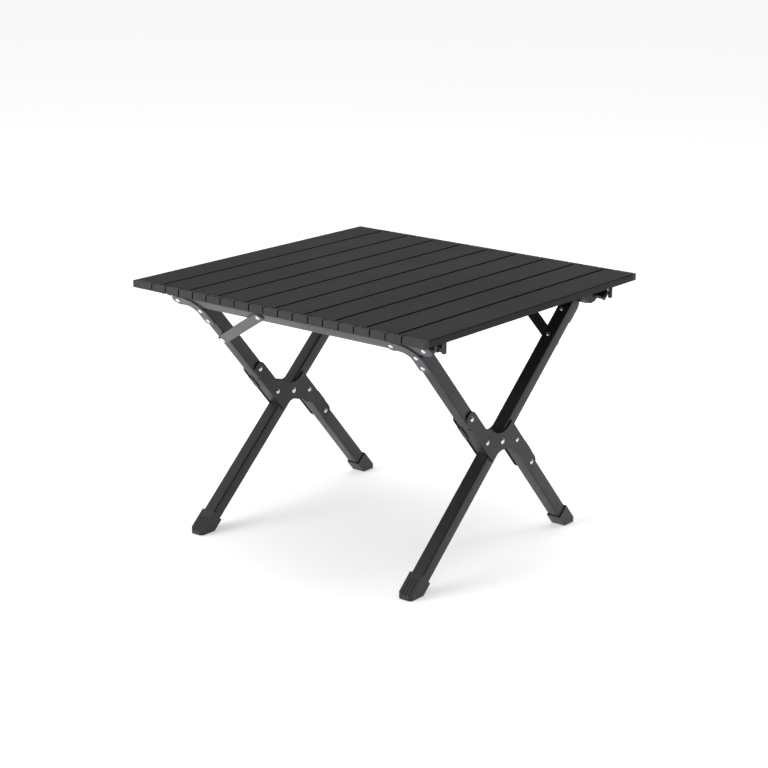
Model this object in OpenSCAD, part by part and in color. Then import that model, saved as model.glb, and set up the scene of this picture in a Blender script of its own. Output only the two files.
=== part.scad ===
// Folding side table: a roll-up slatted top on two rails and two folding X legs.
// X runs along the rails, Y along the slats, Z up. The origin is on the floor
// under the middle of the top.

/* [Tabletop] */
// Height of the top surface above the floor
top_h = 443; // [430:1:450]
// Distance from one slat to the next
slat_pitch = 60; // [59:0.5:62]
// Gap between two neighbouring slats
slat_gap = 4; // [3:0.1:5]
// Thickness of a slat
slat_t = 12; // [11:0.5:13]
// Length of a slat's aluminium extrusion
slat_len = 573; // [560:1:590]
// Wall of the slat extrusion
slat_wall = 1; // [0.8:0.1:1.6]
// Radius of a slat's long top edges
slat_edge_r = 2; // [1.5:0.25:3]
// How far the end blocks stand out past the extrusion
block_out = 11; // [9:0.5:13]
// Width of a hinge link's block, along X
link_w = 28; // [24:1:30]

/* [Legs] */
// Width of the square leg tube
tube_w = 23; // [20:1:24]
// Wall of the leg and rail tubes
tube_wall = 1.5; // [1.2:0.1:2]
// Height of the middle pivot above the floor
hub_h = 205; // [195:0.5:215]
// How far behind the middle the pivot sits
hub_y = 2; // [0:0.5:4]
// Slope of the split leg's two halves, from the floor
split_tilt = 47.9; // [46:0.1:50]
// Slope of the straight leg, from the floor
straight_tilt = 42.2; // [41:0.1:44]
// Offset of each half of the split leg from the pivot
split_off = 26.5; // [26:0.1:28]
// Distance of each X frame from the middle, along X
leg_x = 223; // [210:1:230]

/* [Rails] */
// Height of a rail's face, measured up the slope
rail_h = 30; // [26:1:34]
// Length of a rail over its rounded ends
rail_len = 536; // [524:1:540]
// Offset of the rail's pivot from the leg's middle, along X
strap_dx = 38; // [36:1:42]

/* [Braces] */
// Reach of a brace along the rail
brace_dx = 139; // [120:1:150]
// Drop of a brace down the leg
brace_drop = 100; // [90:1:110]
// Width of a brace bar
brace_w = 18; // [17:0.5:24]
// Thickness of the straps and braces
bar_t = 3; // [2.5:0.5:3.5]

/* [Feet] */
// Width of a foot cap
foot_w = 27; // [26:0.5:28]
// Length of a foot cap along the leg
foot_len = 38; // [34:1:44]
// How far the foot caps reach in front and behind
foot_reach = 237; // [234:1:240]

/* [Hidden] */

slat_count = 10;
slat_w = slat_pitch - slat_gap;
deck_z = top_h - slat_t;            // underside of the slats
hinge_z = top_h - 3;                // axis of every seam hinge
web_x = 10;                         // the slat's two inner webs, from its middle
edge_wall = 1.2;                    // extra wall behind the slat's rounded edges
lip_t = 1.2;                        // lip that closes the gap under each seam
fit = 0.15;                         // clearance of a pushed-in plug
run = 0.4;                          // clearance between faces that move
pin_fit = 0.08;                     // clearance of a pin in its bore
hair = 0.02;                        // gap between pieces that are moulded as one
block_gap = 2.4;                    // gap between neighbouring end blocks
half = tube_w / 2;

pin_r = 1.2;                        // hinge link's pin
ear_r = 2.5;                        // end plug's ear round that pin
ear_y = 3.5;                        // the ear's middle, out from the extrusion
ear_t = 3;
ear_gap = 0.8;                      // room below the ear in the link's pocket
block_drop = 0.4;                   // end blocks sit this far below the top
tongue_len = 14;                    // how far the blocks reach into the slat
link_tongue = 9.5;                  // width of a hinge link's tongue

rail_mid = rail_h / 2;
rail_seat = 0.8;                    // flat on the rail's edge, under the slats
rail_x0 = -leg_x - strap_dx - rail_mid;
rail_x1 = rail_x0 + rail_len;
leg_gap = 3;                        // leg tube's upper end to the rail's lower edge
rivet_r = 2.4;
head_r = 4.2;
head_h = 1.8;                       // height of every domed head
stud_head_r = 5.5;

tube_end = 18;                      // the tube stops this far up its foot
split_end = 14;                     // the split leg's cut ends, from the pivot
plug_len = 12;                      // plugs in those cut ends

arm_half = 12.4;                    // half width of a hub plate's arm
arm_len = 102;                      // pivot to the far rivet, along the leg
near_rivet = 34.2;                  // pivot to the near rivet, along the leg
plate_t = 2.5;
plate_x = half + run;               // hub plate's inner face, from the leg's middle
plate_tab = [5.5, 1.6, 30];         // tab folded over the tube's outer face
plate_tab_z = 57;                   // its lower end, along the leg
bolt_r = 4;
bolt_head_r = 4.8;
stack_w = 2 * (plate_x + plate_t);

strap_w = 20;
strap_bend = 28;
strap_foot = 56;                    // pivot level down to the strap's lower end
strap_eye = 11.5;                   // radius of the strap's end round the pivot
strap_rivet = 20;                   // its short rivet, below the pivot level
through_drop = 47;                  // and the one that goes right through the tube
hook_r = 3.9;                       // brace hook round its stud
stud_r = 3.5;

fork_slot = 8;
fork_prong = 5.5;
fork_drop = 22.5;
fork_t = 5;
fork_x_right = 277;
fork_x_left = -288;
fork_front_y = 230;
fork_rear_y = 240;
fork_tab = [20, 3];                 // length and thickness of the screwed tab
screw_y = fork_t / 2 + 11;          // the screw, from the fork's middle
screw_r = 1.95;
screw_head_r = 4;
fin_t = 4;
fin_y = [-6.5, 1.5];                // the fin's extent across the rail
fin_z = [-4.8, 12.5];               // and up the slope
neck_w = 8;                         // bar that carries the fin
neck_h = 9.6;

rib_w = 2.4;                        // raised ribs on a foot cap
rib_h = 1;
rib_dx = 6.5;
foot_corner = 4.5;                  // cut corners of a foot

leg_paint = [0.16, 0.16, 0.17];
rail_paint = [0.34, 0.33, 0.36];
brace_paint = [0.36, 0.35, 0.38];
plate_paint = [0.15, 0.15, 0.155];
slat_paint = [0.11, 0.115, 0.12];
block_black = [0.09, 0.09, 0.095];
clip_black = [0.07, 0.07, 0.075];
foot_black = [0.1, 0.1, 0.105];

function slat_x(i) = (i - (slat_count + 1) / 2) * slat_pitch;
function seam_x(i) = slat_x(i) + slat_pitch / 2;
// height up the slope at which a tube's upper inner edge meets the slats
function rail_top(tilt, off) = (deck_z - hub_h + (off - half) * cos(tilt)) / sin(tilt);
function floor_at(tilt, off) = (hub_h + off * cos(tilt)) / sin(tilt);
front_rail_z = rail_top(split_tilt, split_off) - rail_mid;
rear_rail_z = rail_top(straight_tilt, 0) - rail_mid;
rear_foot_z = floor_at(split_tilt, split_off);
front_foot_z = floor_at(straight_tilt, 0);
front_stud_z = front_rail_z - brace_drop;
rear_stud_z = rear_rail_z - brace_drop;
front_brace_x = -leg_x + brace_dx;
rear_brace_x = leg_x - brace_dx;

// ---- frames of the two leg sets: Z up the leg, -Y out of its outer face ----
module split_frame() {
  translate([0, hub_y, hub_h]) rotate([90 - split_tilt, 0, 0]) children();
}
module straight_frame() {
  translate([0, hub_y, hub_h]) rotate([straight_tilt - 90, 0, 0])
    mirror([0, 1, 0]) children();
}
// the split frame, moved onto the axis of the upper tube
module upper_frame() {
  split_frame() translate([0, -split_off, 0]) children();
}
// an outline drawn in X and Z, given thickness out of the outer face
module on_face(y, t) {
  translate([0, -y, 0]) rotate([90, 0, 0]) linear_extrude(t) children();
}
// an outline drawn in Y and Z, given thickness along X
module across(x, t) {
  translate([x, 0, 0]) rotate([90, 0, 90]) linear_extrude(t) children();
}
// a bore or pin along Y, from the outer side to past the middle
module bore_y(r, y0, y1) {
  translate([0, -y0, 0]) rotate([90, 0, 0]) cylinder(r = r, h = y1 - y0, $fn = 40);
}
// a bore or pin along X, centred
module bore_x(r, w) {
  rotate([0, 90, 0]) translate([0, 0, -w / 2]) cylinder(r = r, h = w, $fn = 40);
}
module head(r) {
  dome = (r * r + head_h * head_h) / (2 * head_h);
  intersection() {
    translate([0, 0, head_h - dome]) sphere(r = dome, $fn = 64);
    cylinder(r = r, h = head_h + 1, $fn = 48);
  }
}

// ---- tabletop ----
module slat_outline() {
  w = slat_w / 2;
  translate([-w, 0]) square([slat_w, slat_t - slat_edge_r]);
  translate([-w + slat_edge_r, 0]) square([slat_w - 2 * slat_edge_r, slat_t]);
  for (s = [-1, 1]) translate([s * (w - slat_edge_r), slat_t - slat_edge_r])
    circle(r = slat_edge_r, $fn = 48);
}
module slat_chambers() {
  h = slat_t - 2 * slat_wall;
  side_w = slat_w / 2 - web_x - 1.5 * slat_wall - edge_wall;
  translate([-web_x + slat_wall / 2, slat_wall]) square([2 * web_x - slat_wall, h]);
  for (s = [0, 1]) mirror([s, 0]) translate([web_x + slat_wall / 2, slat_wall])
    square([side_w, h]);
}
module slat(i) {
  color(slat_paint) translate([slat_x(i), slat_len / 2, deck_z])
    rotate([90, 0, 0]) linear_extrude(slat_len) difference() {
      union() {
        slat_outline();
        if (i < slat_count) translate([slat_w / 2 - slat_wall, 0])
          square([slat_gap - run + slat_wall, lip_t]);
      }
      slat_chambers();
    }
}
// one plug at the +Y end; its ear reaches left to the seam
module end_plug(i) {
  left = i == 1 ? -slat_w / 2 : -slat_pitch / 2 + link_w / 2 + block_gap;
  right = i == slat_count ? slat_w / 2 : slat_pitch / 2 - link_w / 2 - block_gap;
  tongue_w = 2 * (web_x - fit) - slat_wall;
  translate([slat_x(i), slat_len / 2, deck_z]) difference() {
    union() {
      translate([left, 0, 0]) cube([right - left, block_out, slat_t - block_drop]);
      translate([-tongue_w / 2, -tongue_len, slat_wall + fit])
        cube([tongue_w, tongue_len + 1, slat_t - 2 * (slat_wall + fit)]);
      if (i > 1) translate([-slat_pitch / 2, ear_y - ear_t / 2, hinge_z - deck_z]) {
        rotate([-90, 0, 0]) cylinder(r = ear_r, h = ear_t, $fn = 40);
        translate([0, 0, -ear_r])
          cube([link_w / 2 + block_gap + 1, ear_t, 2 * ear_r - block_drop]);
      }
    }
    if (i > 1) translate([-slat_pitch / 2, 0, hinge_z - deck_z])
      rotate([-90, 0, 0]) cylinder(r = pin_r + pin_fit, h = block_out, $fn = 40);
  }
}
module end_plugs(i) {
  color(block_black) {
    end_plug(i);
    mirror([0, 1, 0]) end_plug(i);
  }
}
// one link at the +Y end, fixed in slat i and carrying slat i + 1 on its pin
module hinge_link(i) {
  pocket = ear_t + 2 * run;
  tongue_x = -slat_gap / 2 - slat_wall - edge_wall - fit;
  seat = 0.01;                      // hairline clearance to the next extrusion
  translate([seam_x(i), slat_len / 2, deck_z]) {
    difference() {
      translate([-link_w / 2, seat, 0])
        cube([link_w, block_out - seat, slat_t - block_drop]);
      translate([-ear_r - edge_wall, ear_y - pocket / 2, hinge_z - deck_z - ear_r - ear_gap])
        cube([link_w, pocket, slat_t]);
    }
    translate([0, ear_y - ear_t, hinge_z - deck_z]) rotate([-90, 0, 0])
      cylinder(r = pin_r, h = 2 * ear_t, $fn = 40);
    translate([tongue_x - link_tongue, -tongue_len, slat_wall + fit])
      cube([link_tongue, tongue_len + 1, slat_t - 2 * (slat_wall + fit)]);
  }
}
module hinge_links(i) {
  color(block_black) {
    hinge_link(i);
    mirror([0, 1, 0]) hinge_link(i);
  }
}
// clip under an end slat: a plate screwed to the slat and two prongs, which stand
// on either side of the rail's fin
module fork_clip(x, y) {
  w = fork_slot + 2 * fork_prong;
  translate([x, y, deck_z - fork_tab[1]]) {
    difference() {
      translate([-w / 2, -fork_t / 2, 0]) cube([w, fork_t + fork_tab[0], fork_tab[1]]);
      translate([0, screw_y, -1]) cylinder(r = screw_r + fit, h = fork_tab[1] + 2, $fn = 32);
    }
    for (s = [0, 1]) mirror([s, 0, 0])
      translate([fork_slot / 2, -fork_t / 2, fork_tab[1] - fork_drop])
        cube([fork_prong, fork_t, fork_drop - fork_tab[1] - hair]);
  }
}
module fork_clips(x) {
  color(clip_black) {
    fork_clip(x, fork_rear_y);
    mirror([0, 1, 0]) fork_clip(x, fork_front_y);
  }
}
module clip_screws(x) {
  color("silver") for (y = [-fork_front_y - screw_y, fork_rear_y + screw_y])
    translate([x, y, deck_z - fork_tab[1]]) {
      translate([0, 0, -2]) cylinder(r = screw_head_r, h = 2, $fn = 40);
      cylinder(r = screw_r, h = fork_tab[1], $fn = 32);
    }
}

// ---- rails ----
module above_deck() {
  translate([-rail_len, -top_h, deck_z]) cube([2 * rail_len, 2 * top_h, top_h]);
}
module rail_outline(inset) {
  r = rail_mid - inset;
  translate([rail_x0 + rail_mid, -r]) square([rail_len - rail_h, 2 * r]);
  for (x = [rail_x0 + rail_mid, rail_x1 - rail_mid]) translate([x, 0]) circle(r = r, $fn = 96);
}
module rail(z, brace_x) {
  inner = tube_w - 2 * tube_wall;
  difference() {
    translate([0, 0, z + rail_seat / 2]) on_face(-half, tube_w) rail_outline(0);
    translate([rail_x0 - 1, -inner / 2, z - rail_mid + tube_wall])
      cube([rail_len + 2, inner, rail_h - 2 * tube_wall]);
    for (x = [rail_x0 + rail_mid, leg_x - strap_dx, rail_x1 - rail_mid, brace_x])
      translate([x, 0, z]) bore_y(rivet_r, 0, half + 1);
  }
}
module front_rail() {
  color(rail_paint) difference() {
    upper_frame() rail(front_rail_z, front_brace_x);
    above_deck();
  }
}
module rear_rail() {
  color(rail_paint) difference() {
    straight_frame() rail(rear_rail_z, rear_brace_x);
    above_deck();
  }
}
// plug in the rail's end e, where s is the side it is on
module rail_plug(z, e, s) {
  w = tube_w - 2 * tube_wall - 2 * fit;
  h = rail_h - 2 * tube_wall - 2 * fit;
  reach = 14;
  difference() {
    intersection() {
      translate([e - s * rail_mid - reach, -w / 2, z - h / 2]) cube([2 * reach + edge_wall, w, h]);
      translate([0, 0, z]) on_face(-half, tube_w) rail_outline(-edge_wall);
    }
    translate([e - s * rail_mid, 0, z]) bore_y(rivet_r, 0, half + 1);
  }
}
// the fin that the fork drops over, on a short neck out of the plug
module rail_fin(z, e, s, fork_x) {
  from = abs(e) + edge_wall + hair;
  to = abs(fork_x) - fin_t / 2;
  mirror([s < 0 ? 1 : 0, 0, 0]) {
    translate([from, -neck_w / 2, z - neck_h / 2]) cube([to - hair - from, neck_w, neck_h]);
    translate([to, fin_y[0], z + fin_z[0]])
      cube([fin_t, fin_y[1] - fin_y[0], fin_z[1] - fin_z[0]]);
  }
}
module rail_plugs(z) {
  rail_plug(z, rail_x1, 1);
  rail_plug(z, rail_x0, -1);
  rail_fin(z, rail_x1, 1, fork_x_right);
  rail_fin(z, rail_x0, -1, fork_x_left);
}
module front_rail_plugs() {
  color(clip_black) difference() {
    upper_frame() rail_plugs(front_rail_z);
    above_deck();
  }
}
module rear_rail_plugs() {
  color(clip_black) difference() {
    straight_frame() rail_plugs(rear_rail_z);
    above_deck();
  }
}

// ---- legs ----
module leg_tube(z0, z1) {
  inner = tube_w - 2 * tube_wall;
  difference() {
    translate([-half, -half, z0]) cube([tube_w, tube_w, z1 - z0]);
    translate([-inner / 2, -inner / 2, z0 - 1]) cube([inner, inner, z1 - z0 + 2]);
  }
}
// bores for the strap's rivets and, on one leg of each set, the brace's stud
module face_bores(z, stud) {
  translate([0, 0, z - strap_rivet]) bore_y(rivet_r, 0, half + 1);
  translate([0, 0, z - through_drop]) bore_y(rivet_r, -half - 1, half + 1);
  if (stud) translate([0, 0, z - brace_drop]) bore_y(rivet_r, -half - 1, half + 1);
}
module hub_bores(x) {
  split_frame() for (s = [-1, 1], z = [near_rivet, arm_len])
    translate([x, s * split_off, -s * z]) bore_x(rivet_r, tube_w + 2);
}
module split_leg_upper(x) {
  color(leg_paint) difference() {
    upper_frame() translate([x, 0, 0]) difference() {
      leg_tube(split_end, front_rail_z - rail_mid - leg_gap);
      face_bores(front_rail_z, x < 0);
    }
    hub_bores(x);
  }
}
module split_leg_lower(x) {
  color(leg_paint) difference() {
    split_frame() translate([x, split_off, 0]) leg_tube(-rear_foot_z + tube_end, -split_end);
    hub_bores(x);
  }
}
module straight_leg(x) {
  color(leg_paint) straight_frame() translate([x, 0, 0]) difference() {
    leg_tube(-front_foot_z + tube_end, rear_rail_z - rail_mid - leg_gap);
    face_bores(rear_rail_z, x > 0);
    bore_x(bolt_r + pin_fit, tube_w + 2);
  }
}
// plugs in the four cut ends of the split legs
module split_leg_plugs() {
  w = tube_w - 2 * tube_wall - 2 * fit;
  color(clip_black) split_frame() for (x = [-leg_x, leg_x], a = [0, 180])
    rotate([a, 0, 0]) translate([x - w / 2, -split_off - w / 2, split_end - 1])
      cube([w, w, plug_len]);
}

// ---- hub ----
module plate_half() {
  translate([-split_off - arm_half, -4]) square([2 * arm_half, arm_len + 4]);
  translate([-split_off, arm_len]) circle(r = arm_half, $fn = 64);
}
// S-shaped plate: an arm up the upper tube and one down the lower tube
module plate_outline() {
  e = split_off + arm_half;
  inner = split_off - arm_half;
  neck = [5, 42];                   // where the arm's inner edge meets the middle
  scoop = [33, 42];
  scoop_r = 38;
  difference() {
    union() {
      plate_half();
      rotate(180) plate_half();
      polygon([[-e, 0], [-e, 60], [-inner, 56], [-neck[0], neck[1]], [e, 5],
        [e, -60], [inner, -56], [neck[0], -neck[1]], [-e, -5]]);
    }
    for (a = [0, 180]) rotate(a) translate(scoop) circle(r = scoop_r, $fn = 128);
  }
}
module hub_plate() {
  difference() {
    union() {
      across(plate_x, plate_t) plate_outline();
      for (a = [0, 180]) rotate([a, 0, 0])
        translate([plate_x - plate_tab[0], -split_off - half - plate_tab[1], plate_tab_z])
          cube([plate_tab[0] + plate_t, plate_tab[1], plate_tab[2]]);
    }
    for (s = [-1, 1], z = [near_rivet, arm_len])
      translate([plate_x, s * split_off, -s * z]) bore_x(rivet_r, 3 * plate_t);
    translate([plate_x, 0, 0]) bore_x(bolt_r, 3 * plate_t);
  }
}
module hub_plates(x) {
  color(plate_paint) split_frame() translate([x, 0, 0]) {
    hub_plate();
    mirror([1, 0, 0]) hub_plate();
  }
}
// a rivet along X through a tube and both plates, a domed head at each end
module through_rivet(r, hr) {
  bore_x(r, stack_w);
  for (s = [0, 1]) mirror([s, 0, 0]) translate([stack_w / 2, 0, 0]) rotate([0, 90, 0]) head(hr);
}
module hub_rivets() {
  color("silver") split_frame()
    for (x = [-leg_x, leg_x], s = [-1, 1], z = [near_rivet, arm_len])
      translate([x, s * split_off, -s * z]) through_rivet(rivet_r, head_r);
}
module pivot_bolts() {
  color("silver") split_frame() for (x = [-leg_x, leg_x])
    translate([x, 0, 0]) through_rivet(bolt_r, bolt_head_r);
}

// ---- straps, rivets and studs on the outer faces ----
module strap_outline() {
  r = strap_bend;
  w = strap_w / 2;
  translate([-w, -strap_foot]) square([strap_w, strap_foot - r]);
  intersection() {
    translate([-r, -r]) difference() {
      circle(r = r + w, $fn = 128);
      circle(r = r - w, $fn = 96);
    }
    translate([-r, -r]) square(2 * r);
  }
  translate([-strap_dx, -w]) square([strap_dx - r, strap_w]);
  translate([-strap_dx, 0]) circle(r = strap_eye, $fn = 64);
}
module straps(z) {
  color(rail_paint) for (x = [-leg_x, leg_x]) translate([x, 0, z]) difference() {
    on_face(half, bar_t) strap_outline();
    for (drop = [strap_rivet, through_drop])
      translate([0, 0, -drop]) bore_y(rivet_r, half - 1, tube_w);
    translate([-strap_dx, 0, 0]) bore_y(rivet_r, half - 1, tube_w);
  }
}
module front_straps() {
  upper_frame() straps(front_rail_z);
}
module rear_straps() {
  straight_frame() straps(rear_rail_z);
}
// a rivet on the outer face: shank back into the tube, domed head in front
module face_rivet(x, z, y) {
  back = 4;
  translate([x, 0, z]) {
    bore_y(rivet_r, half - back, y);
    translate([0, -y, 0]) rotate([90, 0, 0]) head(head_r);
  }
}
// the rest of a rivet that goes right through the tube, headed behind it
module rivet_tail() {
  bore_y(rivet_r, -half, half);
  translate([0, half, 0]) rotate([-90, 0, 0]) head(head_r);
}
module outer_rivets(z, brace_x) {
  brace_y = half + bar_t + 2 * run;
  color("silver") {
    for (x = [-leg_x, leg_x]) {
      face_rivet(x, z - strap_rivet, half + bar_t);
      face_rivet(x, z - through_drop, half + bar_t);
      translate([x, 0, z - through_drop]) rivet_tail();
      face_rivet(x - strap_dx, z, half + bar_t);
    }
    face_rivet(rail_x1 - rail_mid, z, half);
    face_rivet(brace_x, z, brace_y);
  }
}
module front_rivets() {
  upper_frame() outer_rivets(front_rail_z, front_brace_x);
}
module rear_rivets() {
  straight_frame() outer_rivets(rear_rail_z, rear_brace_x);
}
// shouldered stud that the brace hooks over, riveted behind the leg
module brace_stud(x, z) {
  y = half + bar_t + 2 * run;
  color("silver") translate([x, 0, z]) {
    rivet_tail();
    bore_y(stud_r, half, y);
    translate([0, -y, 0]) rotate([90, 0, 0]) head(stud_head_r);
  }
}
module front_brace_stud() {
  upper_frame() brace_stud(-leg_x, front_stud_z);
}
module rear_brace_stud() {
  straight_frame() brace_stud(leg_x, rear_stud_z);
}
// flat brace bar, from its rivet down to the hook over the stud
module brace_outline() {
  reach = sqrt(brace_dx * brace_dx + brace_drop * brace_drop);
  w = brace_w / 2;
  rotate(180 + atan2(brace_drop, brace_dx)) difference() {
    union() {
      translate([0, -w]) square([reach, brace_w]);
      for (x = [0, reach]) translate([x, 0]) circle(r = w, $fn = 64);
    }
    circle(r = rivet_r + pin_fit, $fn = 48);
    translate([reach, 0]) circle(r = hook_r, $fn = 48);
    translate([reach - hook_r, -w - 1]) square([2 * hook_r, w + 1]);
  }
}
module front_brace() {
  color(brace_paint) upper_frame() translate([front_brace_x, 0, front_rail_z])
    on_face(half + run, bar_t) brace_outline();
}
module rear_brace() {
  color(brace_paint) straight_frame() translate([rear_brace_x, 0, rear_rail_z])
    mirror([1, 0, 0]) on_face(half + run, bar_t) brace_outline();
}

// ---- feet: a cap on the tube's end, cut flat where it stands on the floor ----
module foot_cap(x, y, z) {
  w = foot_w / 2;
  socket = tube_w + 2 * fit;
  tall = foot_len + foot_w;
  rib_end = 12;                     // the ribs stop this far below the cap's rim
  translate([x, y, -z]) {
    difference() {
      translate([-w, -w, -foot_w]) cube([foot_w, foot_w, tall]);
      translate([-socket / 2, -socket / 2, tube_end - fit]) cube([socket, socket, foot_len]);
    }
    for (i = [-1, 0, 1]) translate([i * rib_dx - rib_w / 2, w - 0.01, -foot_w])
      cube([rib_w, rib_h, tall - rib_end]);
  }
}
// the space a foot may fill: on the floor, with its outer corners cut off
module foot_space(x, side) {
  w = foot_w / 2;
  c = foot_corner;
  y = side * foot_reach;
  linear_extrude(2 * foot_len) polygon([[x - w, 0], [x - w, y - side * c], [x - w + c, y],
    [x + w - c, y], [x + w, y - side * c], [x + w, 0]]);
}
module rear_feet() {
  color(foot_black) for (x = [-leg_x, leg_x]) intersection() {
    split_frame() foot_cap(x, split_off, rear_foot_z);
    foot_space(x, 1);
  }
}
module front_feet() {
  color(foot_black) for (x = [-leg_x, leg_x]) intersection() {
    straight_frame() foot_cap(x, 0, front_foot_z);
    foot_space(x, -1);
  }
}

for (i = [1:slat_count]) {
  tag = i < 10 ? str("0", i) : str(i);
  slat(i);
  end_plugs(i);
}
for (i = [1:slat_count - 1]) hinge_links(i);
fork_clips(fork_x_left);  // fork_clips_left
fork_clips(fork_x_right);  // fork_clips_right
clip_screws(fork_x_left);  // clip_screws_left
clip_screws(fork_x_right);  // clip_screws_right
front_rail();
front_rail_plugs();
split_leg_upper(-leg_x);  // split_leg_upper_left
split_leg_upper(leg_x);  // split_leg_upper_right
split_leg_lower(-leg_x);  // split_leg_lower_left
split_leg_lower(leg_x);  // split_leg_lower_right
split_leg_plugs();
hub_plates(-leg_x);  // hub_plates_left
hub_plates(leg_x);  // hub_plates_right
hub_rivets();
pivot_bolts();
front_straps();
front_rivets();
front_brace_stud();
rear_feet();
rear_rail();
rear_rail_plugs();
straight_leg(-leg_x);  // straight_leg_left
straight_leg(leg_x);  // straight_leg_right
rear_straps();
rear_rivets();
rear_brace_stud();
front_feet();
front_brace();
rear_brace();
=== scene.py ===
import math

import bmesh
import bpy
import numpy as np
from mathutils import Matrix, Vector


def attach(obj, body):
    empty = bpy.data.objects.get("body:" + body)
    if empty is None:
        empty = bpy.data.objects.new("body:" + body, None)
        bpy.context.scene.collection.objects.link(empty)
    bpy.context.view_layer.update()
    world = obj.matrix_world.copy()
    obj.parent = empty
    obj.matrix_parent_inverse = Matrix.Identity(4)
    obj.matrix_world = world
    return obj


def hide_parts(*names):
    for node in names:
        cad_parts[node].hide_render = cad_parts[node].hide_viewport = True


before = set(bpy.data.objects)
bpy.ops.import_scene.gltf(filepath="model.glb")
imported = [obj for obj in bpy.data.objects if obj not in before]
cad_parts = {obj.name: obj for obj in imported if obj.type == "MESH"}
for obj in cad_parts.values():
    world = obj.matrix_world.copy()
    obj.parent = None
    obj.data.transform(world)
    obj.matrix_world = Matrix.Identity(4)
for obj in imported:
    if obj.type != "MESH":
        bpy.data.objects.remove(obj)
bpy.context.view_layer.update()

bl_info = {
    "name": "Folding side table",
    "version": (1, 0, 0),
    "blender": (4, 5, 0),
    "location": "3D View > Sidebar > Side table",
    "description": "Builds the finish of a folding side table over its CAD bodies",
    "category": "Object",
}

# Sizes that the CAD model fixes, in metres and radians
HUB = np.array([0.0, 0.002, 0.205])   # the middle pivot, between the two X frames
SPLIT_TILT = math.radians(47.9)       # slope of the split leg's two halves
STRAIGHT_TILT = math.radians(42.2)    # slope of the straight leg
SPLIT_OFF = 0.0265                    # offset of each half from the pivot
TUBE = 0.023
WALL = 0.0015
LEG_X = 0.223                         # each X frame, from the middle
DECK_Z = 0.431                        # underside of the slats
RAIL_H = 0.030
RAIL_X = (-0.276, 0.260)              # the rails' two ends
RAIL_SEAT = 0.0008                    # flat on a rail's edge, under the slats
LEG_GAP = 0.003                       # leg tube's upper end to the rail's edge
TUBE_END = 0.018                      # the tube stops this far up its foot
SPLIT_END = 0.014                     # the split leg's cut ends, from the pivot
STRAP_DX = 0.038                      # a strap's rivet in the rail, from the leg
STRAP_DROP = 0.020                    # its short rivet, below the rail's middle
THROUGH_DROP = 0.047                  # and the one right through the tube
BRACE_DX = 0.139
BRACE_DROP = 0.100
BAR = 0.003                           # thickness of the straps and braces
RUN = 0.0004                          # clearance between faces that move
NEAR_RIVET = 0.0342                   # hub rivets, from the pivot along the leg
FAR_RIVET = 0.102
HUB_STACK = 0.0144                    # leg's middle to a hub plate's outer face
HUB_SHANK = 0.0028                    # visible shank behind a hub rivet's head
SHANK = 0.004                         # and behind the other heads
BOLT_HEAD = 0.0048
STUD_HEAD = 0.0055


def rail_height(tilt, offset):
    """Distance up a leg to its rail's middle: the height at which the tube's
    upper inner edge meets the slats, less half of the rail."""
    rise = DECK_Z - HUB[2] + (offset - TUBE / 2) * math.cos(tilt)
    return rise / math.sin(tilt) - RAIL_H / 2


def foot_depth(tilt, offset):
    """Distance down a leg from the pivot's level to the floor."""
    return (HUB[2] + offset * math.cos(tilt)) / math.sin(tilt)


FRONT_RAIL = rail_height(SPLIT_TILT, SPLIT_OFF)
REAR_RAIL = rail_height(STRAIGHT_TILT, 0.0)
REAR_FOOT = foot_depth(SPLIT_TILT, SPLIT_OFF)
FRONT_FOOT = foot_depth(STRAIGHT_TILT, 0.0)


# ---------------------------------------------------------------- settings

class TopSettings(bpy.types.PropertyGroup):
    colour: bpy.props.FloatVectorProperty(
        name="Slat colour", description="Colour of the slats' powder coat",
        subtype="COLOR", size=3, min=0, max=1, default=(0.0054, 0.0058, 0.0066))
    block_colour: bpy.props.FloatVectorProperty(
        name="Block colour", description="Colour of the moulded end blocks",
        subtype="COLOR", size=3, min=0, max=1, default=(0.0100, 0.0100, 0.0106))
    slat_edge: bpy.props.FloatProperty(
        name="Slat edge", description="Width of the slat's softened lower and end edges",
        subtype="DISTANCE", unit="LENGTH", min=0.0001, max=0.001, default=0.0004)
    block_edge: bpy.props.FloatProperty(
        name="Block edge", description="Width of the end blocks' rounded edges",
        subtype="DISTANCE", unit="LENGTH", min=0.0001, max=0.0015, default=0.0007)


class FrameSettings(bpy.types.PropertyGroup):
    colour: bpy.props.FloatVectorProperty(
        name="Leg colour", description="Colour of the leg tubes' powder coat",
        subtype="COLOR", size=3, min=0, max=1, default=(0.0158, 0.0161, 0.0190))
    rail_colour: bpy.props.FloatVectorProperty(
        name="Rail colour", description="Colour of the rails, straps and braces",
        subtype="COLOR", size=3, min=0, max=1, default=(0.070, 0.066, 0.076))
    # Painted shade: the rear rail, its straps and brace take the front rail's colour darkened to
    # about 0.45, a shaded copy of the same paint
    rear_shade_colour: bpy.props.FloatVectorProperty(
        name="Rear rail shaded colour", description="Painted shade colour of the rear rail, its straps and brace",
        subtype="COLOR", size=3, min=0, max=1, default=(0.031, 0.030, 0.035))
    plate_colour: bpy.props.FloatVectorProperty(
        name="Plate colour", description="Colour of the hub plates' paint",
        subtype="COLOR", size=3, min=0, max=1, default=(0.0115, 0.0115, 0.0125))
    corner: bpy.props.FloatProperty(
        name="Tube corner", description="Radius of the leg tubes' corners",
        subtype="DISTANCE", unit="LENGTH", min=0.0005, max=0.005, default=0.0026)
    plate_edge: bpy.props.FloatProperty(
        name="Plate edge", description="Width of the softened edges of plates and straps",
        subtype="DISTANCE", unit="LENGTH", min=0.0001, max=0.001, default=0.0004)


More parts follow.
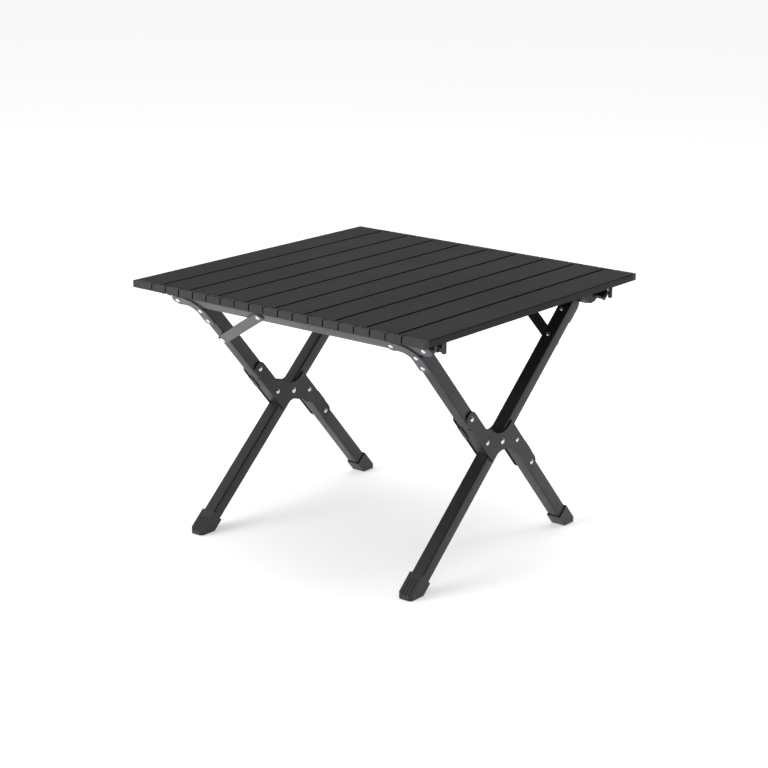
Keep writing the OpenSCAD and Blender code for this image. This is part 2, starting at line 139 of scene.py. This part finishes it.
class HardwareSettings(bpy.types.PropertyGroup):
    colour: bpy.props.FloatVectorProperty(
        name="Rivet colour", description="Colour of the bright rivets",
        subtype="COLOR", size=3, min=0, max=1, default=(0.74, 0.74, 0.75))
    radius: bpy.props.FloatProperty(
        name="Head radius", description="Radius of a face rivet's head",
        subtype="DISTANCE", unit="LENGTH", min=0.003, max=0.006, default=0.0042)
    height: bpy.props.FloatProperty(
        name="Head height", description="Height of a rivet's domed head",
        subtype="DISTANCE", unit="LENGTH", min=0.001, max=0.003, default=0.0018)


class FootSettings(bpy.types.PropertyGroup):
    colour: bpy.props.FloatVectorProperty(
        name="Foot colour", description="Colour of the moulded foot caps",
        subtype="COLOR", size=3, min=0, max=1, default=(0.0200, 0.0200, 0.0225))
    edge: bpy.props.FloatProperty(
        name="Foot edge", description="Width of the foot caps' rounded edges",
        subtype="DISTANCE", unit="LENGTH", min=0.0001, max=0.003, default=0.0012)


class StageSettings(bpy.types.PropertyGroup):
    key_power: bpy.props.FloatProperty(
        name="Key light", description="Power of the soft light from the front left",
        subtype="POWER", unit="POWER", min=0, max=500, default=74)
    top_power: bpy.props.FloatProperty(
        name="Top light", description="Power of the wide soft light overhead",
        subtype="POWER", unit="POWER", min=0, max=500, default=42)
    sky: bpy.props.FloatProperty(
        name="Sky", description="Brightness of the studio's walls overhead",
        min=0, max=3, default=1.0)
    far_wall: bpy.props.FloatProperty(
        name="Right wall", description="Brightness of the studio's right side against its left",
        min=0, max=1, default=0.02)
    glow: bpy.props.FloatProperty(
        name="Floor light", description="Light that comes through the pale floor",
        min=0, max=2, default=0.47)
    floor: bpy.props.FloatVectorProperty(
        name="Floor colour", description="Colour of the studio floor",
        subtype="COLOR", size=3, min=0, max=1, default=(0.86, 0.86, 0.86))


# ---------------------------------------------------------------- geometry

def split_to_world(points, offset=0.0):
    """Points of the split leg's frame, whose Z runs up the leg and whose -Y
    leaves its outer face, in the table's frame. Offset moves them along Y
    first."""
    p = np.array(points, float)
    y = p[:, 1] + offset
    s, c = math.sin(SPLIT_TILT), math.cos(SPLIT_TILT)
    return np.column_stack([p[:, 0], HUB[1] + y * s - p[:, 2] * c, HUB[2] + y * c + p[:, 2] * s])


def upper_to_world(points):
    """Points of the split leg's upper tube, whose own axis is the Z axis."""
    return split_to_world(points, -SPLIT_OFF)


def lower_to_world(points):
    """Points of the split leg's lower tube, whose own axis is the Z axis."""
    return split_to_world(points, SPLIT_OFF)


def straight_to_world(points, offset=0.0):
    """The same for the straight leg's frame, which leans the other way."""
    p = np.array(points, float)
    y = -(p[:, 1] + offset)
    s, c = math.sin(STRAIGHT_TILT), math.cos(STRAIGHT_TILT)
    return np.column_stack([p[:, 0], HUB[1] + y * s + p[:, 2] * c, HUB[2] - y * c + p[:, 2] * s])


def add_mesh(name, parts):
    """One mesh object from several (points, faces) parts, with every face
    turned outward."""
    points, faces, start = [], [], 0
    for p, f in parts:
        points.append(np.asarray(p, float))
        faces += [tuple(int(i) + start for i in face) for face in f]
        start += len(p)
    mesh = bpy.data.meshes.new(name)
    mesh.from_pydata(np.vstack(points).tolist(), [], faces)
    bm = bmesh.new()
    bm.from_mesh(mesh)
    bmesh.ops.recalc_face_normals(bm, faces=bm.faces)
    bm.to_mesh(mesh)
    bm.free()
    mesh.update()
    obj = bpy.data.objects.new(name, mesh)
    bpy.context.scene.collection.objects.link(obj)
    return obj


def smooth(obj, angle=35.0):
    """Shades the faces smooth and keeps edges sharper than the angle."""
    mesh = obj.data
    mesh.polygons.foreach_set("use_smooth", [True] * len(mesh.polygons))
    mesh.set_sharp_from_angle(angle=math.radians(angle))


def finish(obj, body, material, nodes):
    """Gives a finished piece its body and material, in place of the nodes, which it hides."""
    obj.data.materials.clear()
    obj.data.materials.append(material)
    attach(obj, body)
    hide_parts(*nodes)
    return obj


def rounded_square(half, radius, steps=6):
    """A square ring of the given half width, its corners quarter circles."""
    ring = []
    for corner in range(4):
        turn = corner * math.pi / 2
        for k in range(steps + 1):
            a = k / steps * math.pi / 2
            x = half - radius + radius * math.cos(a)
            y = half - radius + radius * math.sin(a)
            ring.append((x * math.cos(turn) - y * math.sin(turn),
                         x * math.sin(turn) + y * math.cos(turn)))
    return np.array(ring)


def loop_faces(rows, cols, closed):
    """Quads between the rows of a grid whose columns run all the way round,
    and between its last and first row too where it is closed."""
    faces = []
    for r in range(rows if closed else rows - 1):
        a, b = r * cols, (r + 1) % rows * cols
        faces += [(a + c, a + (c + 1) % cols, b + (c + 1) % cols, b + c) for c in range(cols)]
    return faces


def tube_part(x, z0, z1, corner, place):
    """A square tube with rounded corners and eased rims, from z0 to z1: the
    outer ring, a slightly smaller one at each rim, and the inner ring."""
    half, ease, least = TUBE / 2, 0.0004, 0.0006
    outer = rounded_square(half, corner)
    rim = rounded_square(half - ease, corner - ease)
    inner = rounded_square(half - WALL, max(corner - WALL, least))
    stations = [(outer, z0 + ease), (outer, z1 - ease), (rim, z1), (inner, z1),
                (inner, z0), (rim, z0)]
    points = np.vstack([np.column_stack([ring, np.full(len(ring), z)]) for ring, z in stations])
    points[:, 0] += x
    return place(points), loop_faces(len(stations), len(outer), True)


def stadium(x0, x1, radius, steps=32):
    """The outline of a bar with half-round ends, in the X-Z plane."""
    ring = []
    for centre, start in ((x1 - radius, -math.pi / 2), (x0 + radius, math.pi / 2)):
        for k in range(steps + 1):
            a = start + k / steps * math.pi
            ring.append((centre, math.cos(a), math.sin(a)))
    return np.array(ring)


def rail_part(z, corner, place):
    """A rail: the outline of a bar with half-round ends, carried across the
    tube's width, its long edges quarter circles of the corner's radius."""
    ring = stadium(*RAIL_X, RAIL_H / 2)
    half, steps = TUBE / 2, 5
    arc = [k / steps * math.pi / 2 for k in range(steps + 1)]
    stations = [(corner * (1 - math.sin(a)), -half + corner * (1 - math.cos(a))) for a in arc]
    stations += [(corner * (1 - math.cos(a)), half - corner * (1 - math.sin(a))) for a in arc]
    points = []
    for inset, y in stations:
        r = RAIL_H / 2 - inset
        points.append(np.column_stack([ring[:, 0] + r * ring[:, 1], np.full(len(ring), y),
                                       z + RAIL_SEAT / 2 + r * ring[:, 2]]))
    cols = len(ring)
    faces = loop_faces(len(stations), cols, False)
    faces += [tuple(range(cols)), tuple(range((len(stations) - 1) * cols, len(stations) * cols))]
    world = place(np.vstack(points))
    world[:, 2] = np.minimum(world[:, 2], DECK_Z)
    return world, faces


def head_part(centre, normal, radius, height, shank, cols=40):
    """A pressed rivet, turned about its normal: a thin flange, a dome above
    it, a shallow dimple in the middle, and a shank behind."""
    flange, neck, foot, crown, fullness = 0.00035, 0.55, 0.96, 0.30, 0.8
    profile = [(radius * neck, -shank), (radius, 0.0), (radius, flange)]
    steps = 10
    for k in range(steps + 1):
        t = k / steps
        profile.append((radius * (foot + (crown - foot) * t),
                        flange + (height - flange) * math.sin(t * math.pi / 2) ** fullness))
    dimple = ((0.26, 0.00006), (0.18, 0.00034))
    profile += [(radius * share, height - depth) for share, depth in dimple]
    n = Vector(normal).normalized()
    u = n.orthogonal().normalized()
    v = n.cross(u)
    points = []
    for r, h in profile:
        for c in range(cols):
            a = 2 * math.pi * c / cols
            points.append(Vector(centre) + n * h + (u * math.cos(a) + v * math.sin(a)) * r)
    faces = loop_faces(len(profile), cols, False)
    faces += [tuple(range(cols)), tuple(range((len(profile) - 1) * cols, len(profile) * cols))]
    return np.array(points), faces


def refined(name, node, edge, segments=2, angle=32.0):
    """A copy of a CAD node's mesh with its doubles merged, its flat faces
    joined and its edges rounded."""
    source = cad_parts[node]
    mesh = source.data.copy()
    mesh.name = name
    mesh.transform(source.matrix_world)
    bm = bmesh.new()
    bm.from_mesh(mesh)
    bmesh.ops.remove_doubles(bm, verts=bm.verts, dist=1e-6)
    bmesh.ops.dissolve_limit(bm, angle_limit=math.radians(1), verts=bm.verts, edges=bm.edges)
    bm.to_mesh(mesh)
    bm.free()
    for layer in ("custom_normal", "sharp_edge"):
        if layer in mesh.attributes:
            mesh.attributes.remove(mesh.attributes[layer])
    obj = bpy.data.objects.new(name, mesh)
    bpy.context.scene.collection.objects.link(obj)
    mesh.polygons.foreach_set("use_smooth", [True] * len(mesh.polygons))
    bevel = obj.modifiers.new("Rounded edges", "BEVEL")
    bevel.width = edge
    bevel.segments = segments
    bevel.limit_method = "ANGLE"
    bevel.angle_limit = math.radians(angle)
    bevel.harden_normals = True
    return obj


# ---------------------------------------------------------------- materials

def node_group(name, inputs, outputs):
    """An empty shader node group with named sockets, and its two end nodes."""
    group = bpy.data.node_groups.new(name, "ShaderNodeTree")
    for label, kind, value in inputs:
        socket = group.interface.new_socket(label, in_out="INPUT", socket_type=kind)
        if value is not None:
            socket.default_value = value
    for label, kind in outputs:
        group.interface.new_socket(label, in_out="OUTPUT", socket_type=kind)
    return group, group.nodes.new("NodeGroupInput"), group.nodes.new("NodeGroupOutput")


def place_nodes(tree):
    """Lays the nodes out in readable rows."""
    across, down, per_row = 220, 260, 8
    for i, n in enumerate(tree.nodes):
        n.location = (across * (i % per_row), -down * (i // per_row))


def add_node(tree, kind, inputs=None, **settings):
    """A new node of a tree, with its settings and its inputs' values."""
    node = tree.nodes.new("ShaderNode" + kind)
    for key, value in settings.items():
        setattr(node, key, value)
    for key, value in (inputs or {}).items():
        node.inputs[key].default_value = value
    return node


def grain_group():
    """Fine grain of a coated or moulded surface: a height from two sizes of
    noise, and a slow tone that drifts over the surface."""
    group, start, end = node_group(
        "Surface grain",
        [("Vector", "NodeSocketVector", None), ("Size", "NodeSocketFloat", 900.0),
         ("Drift", "NodeSocketFloat", 9.0)],
        [("Height", "NodeSocketFloat"), ("Tone", "NodeSocketFloat")])
    link = group.links.new
    fine = add_node(group, "TexNoise", {"Detail": 2.0})
    coarse = add_node(group, "TexNoise", {"Detail": 1.0})
    third = add_node(group, "Math", {1: 0.34}, operation="MULTIPLY")
    both = add_node(group, "Math", operation="ADD")
    slow = add_node(group, "TexNoise", {"Detail": 4.0, "Roughness": 0.55})
    for tex in (fine, coarse, slow):
        link(start.outputs["Vector"], tex.inputs["Vector"])
    link(start.outputs["Size"], third.inputs[0])
    link(start.outputs["Size"], fine.inputs["Scale"])
    link(third.outputs[0], coarse.inputs["Scale"])
    link(start.outputs["Drift"], slow.inputs["Scale"])
    link(fine.outputs["Fac"], both.inputs[0])
    link(coarse.outputs["Fac"], both.inputs[1])
    link(both.outputs[0], end.inputs["Height"])
    link(slow.outputs["Fac"], end.inputs["Tone"])
    place_nodes(group)
    return group


def rub_group():
    """Faint handling marks: thin streaks that run along one direction, kept
    to patches, as a mask."""
    group, start, end = node_group(
        "Handling marks",
        [("Vector", "NodeSocketVector", None), ("Stretch", "NodeSocketVector", (1.0, 1.0, 1.0)),
         ("Amount", "NodeSocketFloat", 0.5)],
        [("Mask", "NodeSocketFloat")])
    link = group.links.new
    stretch = add_node(group, "VectorMath", operation="MULTIPLY")
    streak = add_node(group, "TexNoise", {"Scale": 60.0, "Detail": 5.0, "Roughness": 0.62})
    edge = add_node(group, "MapRange", {"From Min": 0.60, "From Max": 0.72})
    patch = add_node(group, "TexNoise", {"Scale": 7.0, "Detail": 2.0})
    where = add_node(group, "MapRange", {"From Min": 0.48, "From Max": 0.66})
    mixed = add_node(group, "Math", operation="MULTIPLY")
    scaled = add_node(group, "Math", operation="MULTIPLY")
    link(start.outputs["Vector"], stretch.inputs[0])
    link(start.outputs["Stretch"], stretch.inputs[1])
    link(stretch.outputs[0], streak.inputs["Vector"])
    link(start.outputs["Vector"], patch.inputs["Vector"])
    link(streak.outputs["Fac"], edge.inputs["Value"])
    link(patch.outputs["Fac"], where.inputs["Value"])
    link(edge.outputs[0], mixed.inputs[0])
    link(where.outputs[0], mixed.inputs[1])
    link(mixed.outputs[0], scaled.inputs[0])
    link(start.outputs["Amount"], scaled.inputs[1])
    link(scaled.outputs[0], end.inputs["Mask"])
    place_nodes(group)
    return group


def coat(name, colour, rough=(0.38, 0.5), grain=900.0, bump=0.06, tone=0.10,
         marks=0.25, stretch=(1.0, 1.0, 1.0), metallic=0.0, drift=9.0, specular=0.4, glow=0.0):
    """A material from the surface grain and the handling marks: the tone
    lightens and darkens the colour a little, marks lighten and dull it, and
    the grain's height is a bump. Coordinates are the object's own."""
    worn_gain, worn_lift, worn_rough, relief_depth = 1.6, 0.01, 0.35, 0.0005
    material = bpy.data.materials.new(name)
    material.use_nodes = True
    tree = material.node_tree
    tree.nodes.clear()
    link = tree.links.new
    groups = bpy.data.node_groups
    dark = tuple(c * (1 - tone) for c in colour) + (1,)
    light = tuple(c * (1 + tone) for c in colour) + (1,)
    worn_colour = tuple(min(1.0, c * worn_gain + worn_lift) for c in colour) + (1,)
    out = add_node(tree, "OutputMaterial")
    shader = add_node(tree, "BsdfPrincipled", {
        "Metallic": metallic, "Specular IOR Level": specular, "Emission Strength": glow})
    where = add_node(tree, "TexCoord")
    surface = add_node(tree, "Group", node_tree=groups["Surface grain"])
    surface.inputs["Size"].default_value = grain
    surface.inputs["Drift"].default_value = drift
    rub = add_node(tree, "Group", node_tree=groups["Handling marks"])
    rub.inputs["Stretch"].default_value = stretch
    rub.inputs["Amount"].default_value = marks
    ramp = add_node(tree, "Mix", data_type="RGBA")
    ramp.inputs["A"].default_value = dark
    ramp.inputs["B"].default_value = light
    worn = add_node(tree, "Mix", data_type="RGBA")
    worn.inputs["B"].default_value = worn_colour
    rough_map = add_node(tree, "MapRange", {
        "From Min": 0.3, "From Max": 0.7, "To Min": rough[0], "To Max": rough[1]})
    duller = add_node(tree, "Math", {1: worn_rough}, operation="MULTIPLY_ADD", use_clamp=True)
    relief = add_node(tree, "Bump", {"Strength": bump, "Distance": relief_depth})
    link(where.outputs["Object"], surface.inputs["Vector"])
    link(where.outputs["Object"], rub.inputs["Vector"])
    link(surface.outputs["Tone"], ramp.inputs["Factor"])
    link(ramp.outputs["Result"], worn.inputs["A"])
    link(rub.outputs["Mask"], worn.inputs["Factor"])
    link(worn.outputs["Result"], shader.inputs["Base Color"])
    link(surface.outputs["Tone"], rough_map.inputs["Value"])
    link(rub.outputs["Mask"], duller.inputs[0])
    link(rough_map.outputs["Result"], duller.inputs[2])
    link(duller.outputs[0], shader.inputs["Roughness"])
    link(surface.outputs["Height"], relief.inputs["Height"])
    link(relief.outputs["Normal"], shader.inputs["Normal"])
    link(shader.outputs["BSDF"], out.inputs["Surface"])
    place_nodes(tree)
    return material


# ---------------------------------------------------------------- operators

class TABLE_OT_slats(bpy.types.Operator):
    """The ten slats, with softened lower and end edges"""
    bl_idname = "table.slats"
    bl_label = "Slats"

    def execute(self, context):
        s = context.scene.table_top
        paint = coat("Slat powder coat", s.colour, rough=(0.40, 0.52), grain=1500.0, bump=0.10,
                     tone=0.07, marks=0.10, stretch=(0.25, 3.0, 1.0), drift=6.0,
                     specular=0.18)
        for i in range(1, 11):
            obj = refined(f"Slat.{i:02d}", f"slat_{i:02d}", s.slat_edge)
            finish(obj, f"top_{i:02d}", paint, [f"slat_{i:02d}"])
        return {"FINISHED"}


class TABLE_OT_blocks(bpy.types.Operator):
    """The moulded end plugs and hinge links, with rounded edges"""
    bl_idname = "table.blocks"
    bl_label = "End blocks"

    def execute(self, context):
        s = context.scene.table_top
        plastic = coat("Moulded block", s.block_colour, rough=(0.46, 0.6), grain=1100.0,
                       bump=0.10, tone=0.10, marks=0.2)
        for i in range(1, 11):
            obj = refined(f"EndPlugs.{i:02d}", f"end_plugs_{i:02d}", s.block_edge)
            finish(obj, f"top_{i:02d}", plastic, [f"end_plugs_{i:02d}"])
        for i in range(1, 10):
            obj = refined(f"HingeLinks.{i}", f"hinge_links_{i}", s.block_edge)
            finish(obj, f"top_{i:02d}", plastic, [f"hinge_links_{i}"])
        return {"FINISHED"}


class TABLE_OT_clips(bpy.types.Operator):
    """The fork clips under the end slats, their screws, and the rails' plugs"""
    bl_idname = "table.clips"
    bl_label = "Clips and plugs"

    def execute(self, context):
        s = context.scene.table_top
        plastic = coat("Moulded clip", s.block_colour, rough=(0.42, 0.56), grain=1100.0,
                       bump=0.08, tone=0.12, marks=0.3)
        steel = coat("Screw steel", context.scene.table_hardware.colour, rough=(0.25, 0.4),
                     grain=700.0, bump=0.03, tone=0.06, marks=0.3, metallic=1.0)
        for side, body in (("left", "top_01"), ("right", "top_10")):
            obj = refined(f"ForkClips.{side}", f"fork_clips_{side}", s.block_edge)
            finish(obj, body, plastic, [f"fork_clips_{side}"])
            obj = refined(f"ClipScrews.{side}", f"clip_screws_{side}", s.slat_edge)
            finish(obj, body, steel, [f"clip_screws_{side}"])
        for side in ("front", "rear"):
            obj = refined(f"RailPlugs.{side}", f"{side}_rail_plugs", s.block_edge)
            finish(obj, f"{side}_frame", plastic, [f"{side}_rail_plugs"])
        obj = refined("LegPlugs", "split_leg_plugs", s.block_edge)
        finish(obj, "front_frame", plastic, ["split_leg_plugs"])
        return {"FINISHED"}


class TABLE_OT_tubes(bpy.types.Operator):
    """The leg tubes and the rails, with rounded corners"""
    bl_idname = "table.tubes"
    bl_label = "Legs and rails"

    def execute(self, context):
        s = context.scene.table_frame
        paint = coat("Tube powder coat", s.colour, rough=(0.36, 0.48), grain=1300.0, bump=0.08,
                     tone=0.08, marks=0.22, stretch=(1.0, 0.35, 0.35))
        for side, x in (("left", -LEG_X), ("right", LEG_X)):
            spans = (
                ("upper", "front_frame", SPLIT_END, FRONT_RAIL - RAIL_H / 2 - LEG_GAP,
                 upper_to_world),
                ("lower", "front_frame", TUBE_END - REAR_FOOT, -SPLIT_END, lower_to_world),
                ("straight", "rear_frame", TUBE_END - FRONT_FOOT,
                 REAR_RAIL - RAIL_H / 2 - LEG_GAP, straight_to_world))
            for part, body, z0, z1, place in spans:
                node = f"straight_leg_{side}" if part == "straight" else f"split_leg_{part}_{side}"
                obj = add_mesh(f"Leg.{part}.{side}", [tube_part(x, z0, z1, s.corner, place)])
                smooth(obj)
                finish(obj, body, paint, [node])
        # The rear rail gets the darker rear colour, which is the rail colour darkened as painted
        # shade
        for side, colour, z, place in (
                ("front", s.rail_colour, FRONT_RAIL, upper_to_world),
                ("rear", s.rear_shade_colour, REAR_RAIL, straight_to_world)):
            paint = coat(f"Rail powder coat {side}", colour, rough=(0.36, 0.48), grain=1300.0,
                         bump=0.08, tone=0.08, marks=0.22, stretch=(0.35, 1.0, 1.0))
            obj = add_mesh(f"Rail.{side}", [rail_part(z, s.corner, place)])
            smooth(obj)
            finish(obj, f"{side}_frame", paint, [f"{side}_rail"])
        return {"FINISHED"}


class TABLE_OT_plates(bpy.types.Operator):
    """The straps, the braces and the hub plates, with softened edges"""
    bl_idname = "table.plates"
    bl_label = "Straps, braces and hub plates"

    def execute(self, context):
        s = context.scene.table_frame
        dark = coat("Hub plate paint", s.plate_colour, rough=(0.40, 0.52), grain=1300.0,
                    bump=0.08, tone=0.10, marks=0.3)
        # The rear straps and brace get the darker rear colour, which is the rail colour darkened
        # as painted shade
        for side, colour in (("front", s.rail_colour), ("rear", s.rear_shade_colour)):
            paint = coat(f"Strap powder coat {side}", colour, rough=(0.36, 0.48), grain=1300.0,
                         bump=0.08, tone=0.08, marks=0.3)
            obj = refined(f"Straps.{side}", f"{side}_straps", s.plate_edge)
            finish(obj, f"{side}_frame", paint, [f"{side}_straps"])
            obj = refined(f"Brace.{side}", f"{side}_brace", s.plate_edge)
            finish(obj, f"{side}_brace_bar", paint, [f"{side}_brace"])
        for side in ("left", "right"):
            obj = refined(f"HubPlates.{side}", f"hub_plates_{side}", s.plate_edge)
            finish(obj, "front_frame", dark, [f"hub_plates_{side}"])
        return {"FINISHED"}


class TABLE_OT_hardware(bpy.types.Operator):
    """The rivets: heads on the outer faces, through the hubs, and the studs"""
    bl_idname = "table.hardware"
    bl_label = "Rivets"

    def execute(self, context):
        s = context.scene.table_hardware
        steel = coat("Bright rivet", s.colour, rough=(0.16, 0.30), grain=500.0, bump=0.03,
                     tone=0.05, marks=0.25, metallic=1.0)
        half = TUBE / 2
        for name, body, z, place, side in (
                ("front", "front_frame", FRONT_RAIL, upper_to_world, 1),
                ("rear", "rear_frame", REAR_RAIL, straight_to_world, -1)):
            normal = place([(0, -1, 0)])[0] - place([(0, 0, 0)])[0]
            brace_x = side * (BRACE_DX - LEG_X)
            spots = [(RAIL_X[1] - RAIL_H / 2, z, half), (brace_x, z, half + BAR + 2 * RUN)]
            for x in (-LEG_X, LEG_X):
                spots += [(x, z - drop, half + BAR) for drop in (STRAP_DROP, THROUGH_DROP)]
                spots.append((x - STRAP_DX, z, half + BAR))
            parts = [head_part(place([(x, -y, h)])[0], normal, s.radius, s.height,
                               y - half + SHANK) for x, h, y in spots]
            parts += [head_part(place([(x, half, z - THROUGH_DROP)])[0], -normal, s.radius,
                                s.height, SHANK) for x in (-LEG_X, LEG_X)]
            obj = add_mesh(f"Rivets.{name}", parts)
            smooth(obj)
            finish(obj, body, steel, [f"{name}_rivets"])
            x, h, y = -side * LEG_X, z - BRACE_DROP, half + BAR + 2 * RUN
            parts = [head_part(place([(x, -y, h)])[0], normal, STUD_HEAD, s.height, y - half),
                     head_part(place([(x, half, h)])[0], -normal, s.radius, s.height, SHANK)]
            obj = add_mesh(f"BraceStud.{name}", parts)
            smooth(obj)
            finish(obj, body, steel, [f"{name}_brace_stud"])
        for name, spots, radius in (
                ("hub_rivets", [(q * SPLIT_OFF, -q * h) for q in (-1, 1)
                                for h in (NEAR_RIVET, FAR_RIVET)], s.radius),
                ("pivot_bolts", [(0.0, 0.0)], BOLT_HEAD)):
            parts = []
            for x in (-LEG_X, LEG_X):
                for y, h in spots:
                    for out in (-1, 1):
                        at = split_to_world([(x + out * HUB_STACK, y, h)])[0]
                        parts.append(head_part(at, (out, 0, 0), radius, s.height, HUB_SHANK))
            obj = add_mesh("HubRivets" if name == "hub_rivets" else "PivotBolts", parts)
            smooth(obj)
            finish(obj, "front_frame", steel, [name])
        return {"FINISHED"}


class TABLE_OT_feet(bpy.types.Operator):
    """The four moulded foot caps, with rounded edges"""
    bl_idname = "table.feet"
    bl_label = "Feet"

    def execute(self, context):
        s = context.scene.table_feet
        plastic = coat("Moulded foot", s.colour, rough=(0.34, 0.46), grain=900.0, bump=0.08,
                       tone=0.10, marks=0.35)
        for side, body in (("front", "rear_frame"), ("rear", "front_frame")):
            obj = refined(f"Feet.{side}", f"{side}_feet", s.edge, segments=3)
            finish(obj, body, plastic, [f"{side}_feet"])
        return {"FINISHED"}


class TABLE_OT_stage(bpy.types.Operator):
    """The studio: a pale floor, soft light and the camera"""
    bl_idname = "table.stage"
    bl_label = "Studio"

    def execute(self, context):
        s = context.scene.table_stage
        scene = context.scene
        scene.view_settings.view_transform = "Standard"
        reach, depth = 30.0, -0.0005
        floor = add_mesh("Floor", [([(x * reach, y * reach, depth) for x, y in (
            (-1, -1), (1, -1), (1, 1), (-1, 1))], [(0, 1, 2, 3)])])
        floor.data.materials.append(coat("Studio floor", s.floor, rough=(0.8, 0.9), grain=40.0,
                                         bump=0.0, tone=0.005, marks=0.0, specular=0.0,
                                         glow=s.glow))
        self.walls(scene, s)
        self.lights(scene, s)
        self.camera(scene)
        return {"FINISHED"}

    def walls(self, scene, s):
        """The studio around the table: bright overhead, darker towards the
        floor and towards its right side."""
        world = bpy.data.worlds.new("Studio")
        scene.world = world
        world.use_nodes = True
        tree = world.node_tree
        tree.nodes.clear()
        out = add_node(tree, "OutputWorld")
        back = add_node(tree, "Background", {"Strength": s.sky})
        where = add_node(tree, "TexCoord")
        split = add_node(tree, "SeparateXYZ")
        ramp = add_node(tree, "ValToRGB")
        for element, level, position in zip(ramp.color_ramp.elements, (0.12, 1.0), (0.1, 0.75)):
            element.color = (level, level, level, 1)
            element.position = position
        wall = add_node(tree, "MapRange", {
            "From Min": -0.3, "From Max": 0.8, "To Min": 1.0, "To Max": s.far_wall})
        shaded = add_node(tree, "VectorMath", operation="SCALE")
        tree.links.new(where.outputs["Generated"], split.inputs[0])
        tree.links.new(split.outputs["Z"], ramp.inputs["Fac"])
        tree.links.new(split.outputs["X"], wall.inputs["Value"])
        tree.links.new(ramp.outputs["Color"], shaded.inputs[0])
        tree.links.new(wall.outputs["Result"], shaded.inputs["Scale"])
        tree.links.new(shaded.outputs["Vector"], back.inputs["Color"])
        tree.links.new(back.outputs[0], out.inputs["Surface"])
        place_nodes(tree)

    def lights(self, scene, s):
        """Two soft square lights: the key from the front left, and a wider
        one overhead."""
        target = Vector((0.0, 0.0, 0.25))
        for name, at, size, power in (("Key", (-1.5, -3.0, 1.2), 2.0, s.key_power),
                                      ("Top", (0.3, 0.6, 3.2), 2.6, s.top_power)):
            light = bpy.data.lights.new(name, "AREA")
            light.shape = "SQUARE"
            light.size = size
            light.energy = power
            lamp = bpy.data.objects.new(name, light)
            lamp.location = at
            lamp.rotation_euler = (target - Vector(at)).to_track_quat("-Z", "Y").to_euler()
            scene.collection.objects.link(lamp)

    def camera(self, scene):
        """The camera stands at a bearing and height above the floor, looks at
        the middle of the table and is rolled a little."""
        bearing, height, roll = (math.radians(a) for a in (37.75, 16.26, 0.85))
        target, away = Vector((-0.0063, 0.0, 0.2555)), 3.170
        back = Vector((math.sin(bearing) * math.cos(height),
                       -math.cos(bearing) * math.cos(height), math.sin(height)))
        right = Vector((math.cos(bearing), math.sin(bearing), 0.0))
        up = back.cross(right)
        side = right * math.cos(roll) + up * math.sin(roll)
        top = up * math.cos(roll) - right * math.sin(roll)
        data = bpy.data.cameras.new("Camera")
        data.sensor_width = 36.0
        data.lens = 87.854
        data.dof.use_dof = False
        camera = bpy.data.objects.new("Camera", data)
        turn = Matrix((side, top, back)).transposed().to_4x4()
        camera.matrix_world = Matrix.Translation(target + back * away) @ turn
        scene.collection.objects.link(camera)
        scene.camera = camera


class TABLE_PT_panel(bpy.types.Panel):
    """Lists the table's settings and the steps that build it"""
    bl_idname = "TABLE_PT_panel"
    bl_label = "Folding side table"
    bl_space_type = "VIEW_3D"
    bl_region_type = "UI"
    bl_category = "Side table"

    def draw(self, context):
        for key, group in SETTINGS.items():
            box = self.layout.box()
            for prop in group.__annotations__:
                box.prop(getattr(context.scene, key), prop)
        for operator in OPERATORS:
            self.layout.operator(operator.bl_idname)


SETTINGS = {"table_top": TopSettings, "table_frame": FrameSettings,
            "table_hardware": HardwareSettings, "table_feet": FootSettings,
            "table_stage": StageSettings}
OPERATORS = (TABLE_OT_slats, TABLE_OT_blocks, TABLE_OT_clips, TABLE_OT_tubes, TABLE_OT_plates,
             TABLE_OT_hardware, TABLE_OT_feet, TABLE_OT_stage)


def register():
    for cls in (*SETTINGS.values(), *OPERATORS, TABLE_PT_panel):
        bpy.utils.register_class(cls)
    for key, group in SETTINGS.items():
        setattr(bpy.types.Scene, key, bpy.props.PointerProperty(type=group))


def unregister():
    for key in SETTINGS:
        delattr(bpy.types.Scene, key)
    for cls in (TABLE_PT_panel, *reversed(OPERATORS), *reversed(SETTINGS.values())):
        bpy.utils.unregister_class(cls)


def main():
    register()
    grain_group()
    rub_group()
    for operator in OPERATORS:
        area, name = operator.bl_idname.split(".")
        getattr(getattr(bpy.ops, area), name)()


if __name__ == "__main__":
    main()
